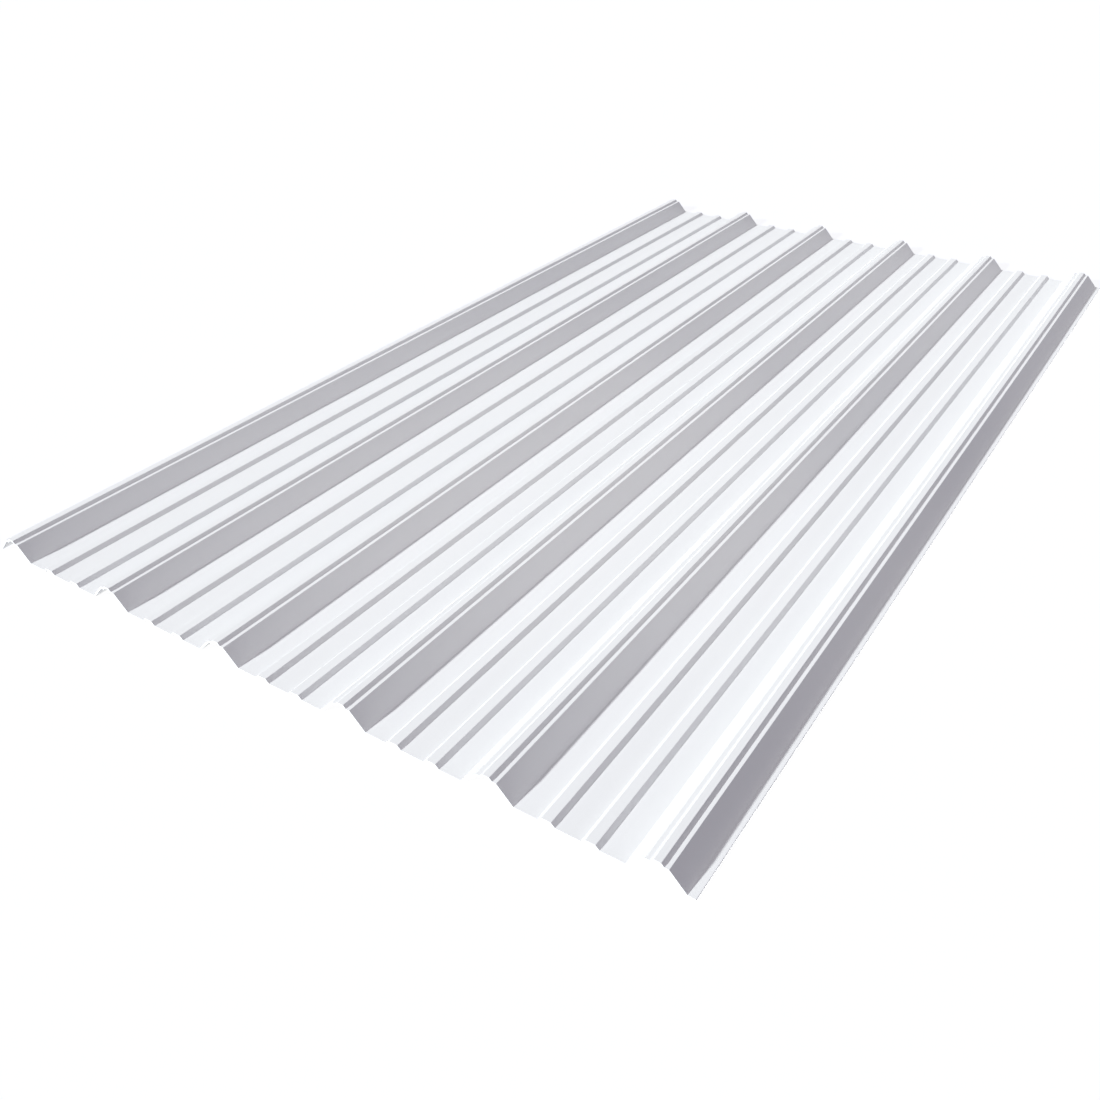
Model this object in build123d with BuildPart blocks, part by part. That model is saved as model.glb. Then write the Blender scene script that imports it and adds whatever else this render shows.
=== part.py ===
from build123d import *

import os

os.makedirs("parts", exist_ok=True)

# White uPVC roof sheet: one trapezoidal profile, extruded and cut square at both ends.
# X runs across the sheet, Y along it and Z up. It lies on the undersides of its pans at Z = 0.

# Driving dimensions in millimetres. Widths and heights are read on the weather face.
SHEET_LENGTH = 2000
SHEET_THICKNESS = 2.5
RIB_COUNT = 6
RIB_PITCH = 210
RIB_BASE_WIDTH = 71
RIB_CREST_WIDTH = 27
RIB_HEIGHT = 23
BEAD_BASE_WIDTH = 16.5
BEAD_TOP_WIDTH = 8.7
BEAD_HEIGHT = 4.1
STIFFENERS_PER_PAN = 2
STIFFENER_PITCH = 55
STIFFENER_BASE_WIDTH = 23
STIFFENER_TOP_WIDTH = 12.5
STIFFENER_HEIGHT = 5.2
UNDERLAP_LIP_WIDTH = 10
OVERLAP_EDGE_LIFT = 1
CORNER_RADIUS = 0.8

# The left rib laps over the next sheet, so its outer web stops short of the pan and has no foot.
web_run_per_rise = (RIB_BASE_WIDTH - RIB_CREST_WIDTH) / 2 / RIB_HEIGHT
overlap_reach = RIB_BASE_WIDTH / 2 - OVERLAP_EDGE_LIFT * web_run_per_rise
underlap_reach = RIB_BASE_WIDTH / 2 + UNDERLAP_LIP_WIDTH

sheet_width = overlap_reach + (RIB_COUNT - 1) * RIB_PITCH + underlap_reach
first_rib_x = overlap_reach - sheet_width / 2
last_rib_x = first_rib_x + (RIB_COUNT - 1) * RIB_PITCH

# Half of each raised form, from its foot up to its top edge: reach from its axis, height over the pan.
RIB_STEPS = [
    (RIB_BASE_WIDTH / 2, 0),
    (RIB_CREST_WIDTH / 2, RIB_HEIGHT),
    (BEAD_BASE_WIDTH / 2, RIB_HEIGHT),
    (BEAD_TOP_WIDTH / 2, RIB_HEIGHT + BEAD_HEIGHT),
]
STIFFENER_STEPS = [
    (STIFFENER_BASE_WIDTH / 2, 0),
    (STIFFENER_TOP_WIDTH / 2, STIFFENER_HEIGHT),
]


def corners(axis_x, half_steps):
    """Corners of one symmetrical form on the weather face, from its left foot to its right foot."""
    rising = [(axis_x - reach, SHEET_THICKNESS + height) for reach, height in half_steps]
    falling = [(axis_x + reach, SHEET_THICKNESS + height) for reach, height in half_steps]
    return rising + falling[::-1]


def stiffener_axes(pan_x):
    """Axes of the low stiffening ribs, spread evenly about the middle of one pan."""
    first = pan_x - (STIFFENERS_PER_PAN - 1) * STIFFENER_PITCH / 2
    return [first + number * STIFFENER_PITCH for number in range(STIFFENERS_PER_PAN)]


# Every corner of the section in order: a rib, then the stiffeners of the pan on its right, and so on.
section_corners = []
for rib in range(RIB_COUNT):
    rib_x = first_rib_x + rib * RIB_PITCH
    section_corners += corners(rib_x, RIB_STEPS)
    if rib < RIB_COUNT - 1:
        for stiffener_x in stiffener_axes(rib_x + RIB_PITCH / 2):
            section_corners += corners(stiffener_x, STIFFENER_STEPS)

overlap_edge = (first_rib_x - overlap_reach, SHEET_THICKNESS + OVERLAP_EDGE_LIFT)
underlap_edge = (last_rib_x + underlap_reach, SHEET_THICKNESS)
section_corners[0] = overlap_edge
section_corners.append(underlap_edge)

# The whole sheet: the weather face's line is thickened downwards, every corner of the section gets the
# small radius that the die leaves, and the section is extruded about its middle.
with BuildPart() as roof_sheet:
    with BuildSketch(Plane.XZ) as section:
        with BuildLine() as weather_face:
            Polyline(*section_corners)
            offset(amount=SHEET_THICKNESS, side=Side.RIGHT, kind=Kind.INTERSECTION)
        make_face()
        fillet(section.vertices(), radius=CORNER_RADIUS)
    extrude(amount=SHEET_LENGTH / 2, both=True)

roof_sheet.part.label = "roof_sheet"
export_step(roof_sheet.part, "parts/roof_sheet.step")

print("overall", roof_sheet.part.bounding_box().size)
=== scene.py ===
# %% [markdown]
# # A white uPVC roof sheet in studio light
#
# The object is one extruded sheet of hard white plastic: six tall ribs with a small bead on each
# crest, and five flat pans with two low stiffeners each. Its shape is finished before this lesson
# starts, because the section, the bends and the square-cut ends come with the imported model. What is
# left for Blender is the finish, the light and the camera, and on a white object those are the hard
# part: with no colour to show it, the whole form is told by small steps of grey.

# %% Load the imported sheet
import math

import bpy
from mathutils import Matrix, Vector


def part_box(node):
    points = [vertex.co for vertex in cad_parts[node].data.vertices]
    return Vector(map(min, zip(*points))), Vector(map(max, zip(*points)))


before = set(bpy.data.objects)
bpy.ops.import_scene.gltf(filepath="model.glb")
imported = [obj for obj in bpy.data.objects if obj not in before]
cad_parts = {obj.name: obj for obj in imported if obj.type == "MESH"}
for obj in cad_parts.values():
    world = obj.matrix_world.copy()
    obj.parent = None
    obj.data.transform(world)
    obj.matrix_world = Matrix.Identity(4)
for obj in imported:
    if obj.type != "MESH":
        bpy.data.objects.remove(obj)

scene = bpy.context.scene
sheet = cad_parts["roof_sheet"]
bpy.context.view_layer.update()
low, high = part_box("roof_sheet")
bpy.ops.object.select_all(action="DESELECT")
print("sheet", [round(side, 4) for side in high - low], "m, faces", len(sheet.data.polygons))

# %% [markdown]
# ## Camera
#
# The picture is a three-quarter view from above the near right corner. A camera can be aimed by eye,
# but long parallel edges show an error of a single degree, so its place, angles and lens here were
# fitted to the edges of the ribs. The small sideways shift stands for a picture that was cropped a
# little off centre.

# %% Place the camera
CAMERA_EYE = Vector((0.8269, -1.6437, 0.8787))
CAMERA_AZIMUTH_DEG = 32.865
CAMERA_ELEVATION_DEG = 34.078
CAMERA_ROLL_DEG = 0.115
SENSOR_MM = 36.0
LENS_MM = 35.224
SHIFT_X = -0.0141
FARTHEST_SEEN = 100.0


def camera_turn(azimuth_deg, elevation_deg, roll_deg):
    """Rotation of a camera that looks along +Y at azimuth 0, and down by its elevation."""
    azimuth, elevation, roll = (math.radians(angle) for angle in (azimuth_deg, elevation_deg, roll_deg))
    back = Vector((math.sin(azimuth) * math.cos(elevation),
                   -math.cos(azimuth) * math.cos(elevation),
                   math.sin(elevation)))
    level = Vector((math.cos(azimuth), math.sin(azimuth), 0.0))
    right = Matrix.Rotation(roll, 3, back) @ level
    return Matrix((right, back.cross(right), back)).transposed().to_euler()


bpy.ops.object.camera_add(
    location=CAMERA_EYE,
    rotation=camera_turn(CAMERA_AZIMUTH_DEG, CAMERA_ELEVATION_DEG, CAMERA_ROLL_DEG),
)
camera = bpy.context.object
camera.name = "photo_camera"
camera.data.sensor_width = SENSOR_MM
camera.data.lens = LENS_MM
camera.data.shift_x = SHIFT_X
camera.data.clip_end = FARTHEST_SEEN
scene.camera = camera
print("camera", [round(value, 3) for value in camera.location], "lens", LENS_MM, "mm")

# %% [markdown]
# ## Key light
#
# The steep webs on the right of each rib are in shade and the pans are bright, so the key light stands
# low on the left, near the cut end. It leaves a thin shadow along the foot of each web. An area lamp
# would spread that shadow more at one end than at the other. A sun lamp keeps it even over the whole
# two metres, because it shines from the same side everywhere, and its width of two degrees leaves the
# edge a little soft.

# %% Hang the key light
KEY_TOWARDS = Vector((-0.426, -0.825, 0.3795)).normalized()
KEY_DISTANCE = 4.0
KEY_STRENGTH = 5.02
KEY_WIDTH_DEG = 2.0
KEY_COLOR = (0.97, 1.0, 0.995)

bpy.ops.object.light_add(type="SUN", location=KEY_TOWARDS * KEY_DISTANCE)
key = bpy.context.object
key.name = "key_sun"
key.rotation_euler = KEY_TOWARDS.to_track_quat("Z", "Y").to_euler()
key.data.energy = KEY_STRENGTH
key.data.angle = math.radians(KEY_WIDTH_DEG)
key.data.color = KEY_COLOR
print("key light", round(math.degrees(math.asin(KEY_TOWARDS.z)), 1), "degrees up, strength", KEY_STRENGTH)

# %% [markdown]
# ## Node helpers
#
# The sky, the floor and the plastic are all made of shader nodes. They could be drawn in the node
# editor, but a script that does so link by link is long to read. Three small helpers keep it short: one
# fills a socket, one adds a Math node, and one tells the rays that the eye follows from bounced light.

# %% Write the node helpers
def feed(tree, socket, value):
    """Fills a socket with a number or a colour, or links another node's output to it."""
    if isinstance(value, bpy.types.NodeSocket):
        tree.links.new(value, socket)
    else:
        socket.default_value = value


def math_node(tree, operation, *values):
    """A Math node. Each value is a number or another node's output."""
    node = tree.nodes.new("ShaderNodeMath")
    node.operation = operation
    for socket, value in zip(node.inputs, values):
        feed(tree, socket, value)
    return node.outputs["Value"]


def followed_by_eye(tree):
    """1 for rays that the eye follows, straight or by reflection, and 0 for bounced light."""
    rays = tree.nodes.new("ShaderNodeLightPath").outputs
    mirrored = math_node(tree, "MAXIMUM", rays["Is Glossy Ray"], rays["Is Transmission Ray"])
    return math_node(tree, "MAXIMUM", rays["Is Camera Ray"], mirrored)


print("node helpers", [helper.__name__ for helper in (feed, math_node, followed_by_eye)])

# %% [markdown]
# ## Sky
#
# Everything that the key light misses is told by the sky. Light from overhead alone would fill the
# thin shadow at the foot of a web as much as the web itself. Light from the right does more for the
# webs than for the level pans, so the sky leans that way: it is brightest high on the right and dark
# low on the left. The foot of each web keeps its dark line, and the webs that face the key light get
# less of the sky.
#
# The background of a shop picture is plain white, and so are its reflections. The Light Path node
# tells those rays apart: rays that the eye follows find white, and bounced light finds the soft sky.

# %% Paint the sky
SKY_COLOR = (0.962, 0.914, 1.0, 1.0)
SKY_OVERHEAD = 0.475
SKY_RIGHT = 0.22
WHITE = (1.0, 1.0, 1.0, 1.0)


def paint_sky():
    """Soft light from overhead that leans to the right, with plain white for the eye."""
    world = bpy.data.worlds.new("studio_sky")
    world.use_nodes = True
    tree = world.node_tree
    tree.nodes.clear()
    direction = tree.nodes.new("ShaderNodeTexCoord")
    axes = tree.nodes.new("ShaderNodeSeparateXYZ")
    tree.links.new(direction.outputs["Generated"], axes.inputs["Vector"])
    overhead = math_node(tree, "MULTIPLY", axes.outputs["Z"], SKY_OVERHEAD)
    leaning = math_node(tree, "MULTIPLY_ADD", axes.outputs["X"], SKY_RIGHT, overhead)
    fill = tree.nodes.new("ShaderNodeBackground")
    fill.inputs["Color"].default_value = SKY_COLOR
    tree.links.new(math_node(tree, "MAXIMUM", leaning, 0.0), fill.inputs["Strength"])
    seen = tree.nodes.new("ShaderNodeBackground")
    seen.inputs["Color"].default_value = WHITE
    mix = tree.nodes.new("ShaderNodeMixShader")
    output = tree.nodes.new("ShaderNodeOutputWorld")
    tree.links.new(followed_by_eye(tree), mix.inputs["Fac"])
    tree.links.new(fill.outputs["Background"], mix.inputs[1])
    tree.links.new(seen.outputs["Background"], mix.inputs[2])
    tree.links.new(mix.outputs["Shader"], output.inputs["Surface"])
    return world


scene.world = paint_sky()
print("sky", scene.world.name, "overhead", SKY_OVERHEAD, "right", SKY_RIGHT)

# %% [markdown]
# ## Fill spots
#
# In the picture the shaded webs are brighter than the sky alone would leave them, most of all about a
# third of the way along. A panel of light would reach the last rib first, which should stay dark.
# Spots from high on the right can be aimed past it: their cones are squeezed to flat bands, which fade
# out towards that rib. One is bright and short, and the other carries a weaker light along the far
# half.

# %% Aim the fill spots
SPOT_STAND_X = 2.4
SPOT_HEIGHT = 1.0
SPOT_AIM_X = -0.1
SPOT_COLOR = (1.0, 0.971, 0.885)
SPOT_RADIUS = 0.15
SPOT_BAND_DEG = 11.9
SPOT_SOFTNESS = 1.0
NEAR_SPOT = {"along": -0.42, "watts": 32.0, "cone_deg": 30.0}
FAR_SPOT = {"along": 0.5, "watts": 11.5, "cone_deg": 36.0}


def half_reach(cone_deg):
    """Half of a cone's width, one metre from its lamp."""
    return math.tan(math.radians(cone_deg / 2))


def aim_spot(name, along, watts, cone_deg):
    """A spot on the right, at a place along the sheet, with its cone squeezed to the band's height."""
    stand = Vector((SPOT_STAND_X, along, SPOT_HEIGHT))
    aim = Vector((SPOT_AIM_X, along, 0.0))
    squeeze = half_reach(SPOT_BAND_DEG) / half_reach(cone_deg)
    bpy.ops.object.light_add(type="SPOT", location=stand)
    lamp = bpy.context.object
    lamp.name = name
    lamp.rotation_euler = (stand - aim).to_track_quat("Z", "Y").to_euler()
    lamp.scale = (1.0, squeeze, 1.0)
    lamp.data.energy = watts
    lamp.data.color = SPOT_COLOR
    lamp.data.spot_size = math.radians(cone_deg)
    lamp.data.spot_blend = SPOT_SOFTNESS
    lamp.data.shadow_soft_size = SPOT_RADIUS
    print(name, watts, "W, cone", cone_deg, "degrees, squeezed to", round(squeeze, 3))


aim_spot("near_spot", **NEAR_SPOT)
aim_spot("far_spot", **FAR_SPOT)

# %% [markdown]
# ## Matt grounds that glow
#
# The floor has to look white, keep a faint shadow and send little light back up, or the web of the
# last rib would lose its shade. Plain white paint can't do all three. A dark matt surface with a glow
# that only the eye finds can: the shadow stays in the matt part, and the glow makes it white. What lies
# under and beside the sheet is made the same way, with a second glow for bounced light.

# %% Write the ground helpers
def add_ground(name, middle, size, height):
    """A level rectangle of the stage, at the given height."""
    bpy.ops.mesh.primitive_plane_add(size=1.0, location=(middle.x, middle.y, height))
    ground = bpy.context.object
    ground.name = name
    ground.scale = (size.x, size.y, 1.0)
    bpy.ops.object.transform_apply(location=False, rotation=False, scale=True)
    bpy.ops.object.select_all(action="DESELECT")
    print(name, [round(side, 3) for side in size], "m, at height", round(height, 4), "m")
    return ground


def ground_finish(name, matt_color, eye_glow, bounce_glow):
    """Matt surface with one glow for the eye and another for bounced light."""
    material = bpy.data.materials.new(name)
    material.use_nodes = True
    material.cycles.emission_sampling = "NONE"
    tree = material.node_tree
    tree.nodes.clear()
    matt = tree.nodes.new("ShaderNodeBsdfDiffuse")
    matt.inputs["Color"].default_value = matt_color
    glow = tree.nodes.new("ShaderNodeEmission")
    level = math_node(tree, "MULTIPLY_ADD", followed_by_eye(tree), eye_glow - bounce_glow, bounce_glow)
    tree.links.new(level, glow.inputs["Strength"])
    lifted = tree.nodes.new("ShaderNodeAddShader")
    output = tree.nodes.new("ShaderNodeOutputMaterial")
    tree.links.new(matt.outputs["BSDF"], lifted.inputs[0])
    tree.links.new(glow.outputs["Emission"], lifted.inputs[1])
    tree.links.new(lifted.outputs["Shader"], output.inputs["Surface"])
    return material


print("ground helpers", [helper.__name__ for helper in (add_ground, ground_finish)])

# %% [markdown]
# ## Floor, light pad and card
#
# The sheet lies on its pans on a plain floor. The floor's matt part is a little blue: the light that it
# sends back is what makes the web of the last rib cooler than the others.
#
# Under the sheet the same floor would leave the hollow ribs black at the cut ends. A thin light pad
# of the sheet's own size gives back what a pale table would send up into them. The edge of the lip
# on the right would draw a dark line beside the white floor. A photographer lays a white card along
# such an edge, so a narrow card lies there.

# %% Lay the floor, the light pad and the card
EYE_GLOW = 0.92
FLOOR_SIDE = 40.0
FLOOR_GAP = 0.0004
FLOOR_MATT = (0.09, 0.10, 0.17, 1.0)
FLOOR_BOUNCE_GLOW = 0.0
PAD_GAP = 0.0002
PAD_MATT = (0.12, 0.12, 0.12, 1.0)
PAD_BOUNCE_GLOW = 0.68
CARD_WIDTH = 0.003
CARD_BOUNCE_GLOW = 4.5

middle = (low + high) / 2
pad_size = (high - low).to_2d()
card_middle = Vector((high.x + CARD_WIDTH / 2, middle.y))
card_size = Vector((CARD_WIDTH, pad_size.y))

floor = add_ground("floor", middle, Vector((FLOOR_SIDE, FLOOR_SIDE)), low.z - FLOOR_GAP)
floor.data.materials.append(ground_finish("floor_white", FLOOR_MATT, EYE_GLOW, FLOOR_BOUNCE_GLOW))
pad = add_ground("light_pad", middle, pad_size, low.z - PAD_GAP)
pad.data.materials.append(ground_finish("pad_white", PAD_MATT, EYE_GLOW, PAD_BOUNCE_GLOW))
card = add_ground("edge_card", card_middle, card_size, low.z - PAD_GAP)
card.data.materials.append(ground_finish("card_white", PAD_MATT, EYE_GLOW, CARD_BOUNCE_GLOW))

# %% [markdown]
# ## White uPVC
#
# Hard white plastic is pushed hot through a die, then drawn through blocks that shape and cool it. It
# leaves them smooth and half glossy, with three marks that a plain white lacks: fine lines along the
# length, where the die drags on the plastic; a faint orange peel from cooling; and slow drifts of tone
# and gloss. The ends are sawn, so they are dull.
#
# An image could hold those marks, but two metres of sheet at a tenth of a millimetre would be a huge
# picture. Noise gives them at any size. The lines are noise that is squeezed across the sheet and
# stretched along it. All of it reads Object coordinates, so it stays on the plastic from every side.

# %% Write the pattern helpers
# Places of the two inputs and the output that a Mix node uses for each kind of value.
MIX_SOCKETS = {"RGBA": (6, 7, 2), "FLOAT": (2, 3, 0)}


def noise_node(tree, vector, detail, scale=1.0):
    """Noise on the given coordinates, about 0.5 on average."""
    node = tree.nodes.new("ShaderNodeTexNoise")
    node.inputs["Scale"].default_value = scale
    node.inputs["Detail"].default_value = detail
    tree.links.new(vector, node.inputs["Vector"])
    return node.outputs["Fac"]


def blend(tree, kind, share, first, second):
    """A colour (RGBA) or a number (FLOAT) between two, each given as a value or as an output."""
    node = tree.nodes.new("ShaderNodeMix")
    node.data_type = kind
    first_place, second_place, result_place = MIX_SOCKETS[kind]
    tree.links.new(share, node.inputs["Factor"])
    feed(tree, node.inputs[first_place], first)
    feed(tree, node.inputs[second_place], second)
    return node.outputs[result_place]


print("pattern helpers", [helper.__name__ for helper in (noise_node, blend)])

# %% [markdown]
# ## One material for the drawn faces and the sawn ends
#
# The marks could be modelled, but a die line is less than a tenth of a millimetre deep, and a mesh that
# fine would be huge. Bump is enough at that depth. The noise of the lines also moves the tone a little,
# and the slow drift moves the tone and the gloss. The sawn ends could have a material of their own, but
# that would split the sheet. They are found instead by the direction that a face looks in.

# %% Mix the plastic
UPVC_WHITE = (0.926, 0.940, 0.951, 1.0)
UPVC_GREYER = (0.906, 0.920, 0.931, 1.0)
SAWN_WHITE = (0.880, 0.890, 0.895, 1.0)
UPVC_IOR = 1.5
GLOSS_ROUGHNESS = (0.34, 0.42)
SAWN_ROUGHNESS = 0.62
LINES_PER_METRE = (420.0, 0.7, 420.0)
LINES_DETAIL = 3.0
LINES_IN_TONE = 0.5
PEEL_PER_METRE = 210.0
PEEL_DETAIL = 1.0
PEEL_IN_RELIEF = 0.35
DRIFT_PER_METRE = 2.6
DRIFT_DETAIL = 2.0
DRIFT_IN_TONE = 0.5
RELIEF_METRES = 0.0001
SAWN_FACING = 0.9


def upvc_finish():
    """White hard plastic as drawn from the die, with dull sawn ends."""
    material = bpy.data.materials.new("white_upvc")
    material.use_nodes = True
    tree = material.node_tree
    shader = tree.nodes["Principled BSDF"]
    shader.inputs["IOR"].default_value = UPVC_IOR

    place = tree.nodes.new("ShaderNodeTexCoord")
    stretch = tree.nodes.new("ShaderNodeMapping")
    stretch.inputs["Scale"].default_value = LINES_PER_METRE
    tree.links.new(place.outputs["Object"], stretch.inputs["Vector"])
    lines = noise_node(tree, stretch.outputs["Vector"], LINES_DETAIL)
    peel = noise_node(tree, place.outputs["Object"], PEEL_DETAIL, PEEL_PER_METRE)
    drift = noise_node(tree, place.outputs["Object"], DRIFT_DETAIL, DRIFT_PER_METRE)

    facing = tree.nodes.new("ShaderNodeSeparateXYZ")
    tree.links.new(place.outputs["Normal"], facing.inputs["Vector"])
    endwise = math_node(tree, "ABSOLUTE", facing.outputs["Y"])
    sawn = math_node(tree, "GREATER_THAN", endwise, SAWN_FACING)

    drift_tone = math_node(tree, "MULTIPLY", drift, DRIFT_IN_TONE)
    tone = math_node(tree, "MULTIPLY_ADD", lines, LINES_IN_TONE, drift_tone)
    drawn_color = blend(tree, "RGBA", tone, UPVC_WHITE, UPVC_GREYER)
    tree.links.new(blend(tree, "RGBA", sawn, drawn_color, SAWN_WHITE), shader.inputs["Base Color"])
    drawn_roughness = blend(tree, "FLOAT", drift, *GLOSS_ROUGHNESS)
    roughness = blend(tree, "FLOAT", sawn, drawn_roughness, SAWN_ROUGHNESS)
    tree.links.new(roughness, shader.inputs["Roughness"])

    bump = tree.nodes.new("ShaderNodeBump")
    bump.inputs["Distance"].default_value = RELIEF_METRES
    relief = math_node(tree, "MULTIPLY_ADD", peel, PEEL_IN_RELIEF, lines)
    tree.links.new(relief, bump.inputs["Height"])
    tree.links.new(bump.outputs["Normal"], shader.inputs["Normal"])
    return material


for slot in sheet.material_slots:
    slot.material = upvc_finish()
print("finish on", sheet.name, [slot.material.name for slot in sheet.material_slots])

# %% [markdown]
# ## View transform
#
# The Standard view shows colours as they were written.

# %% Set the view transform
scene.view_settings.view_transform = "Standard"
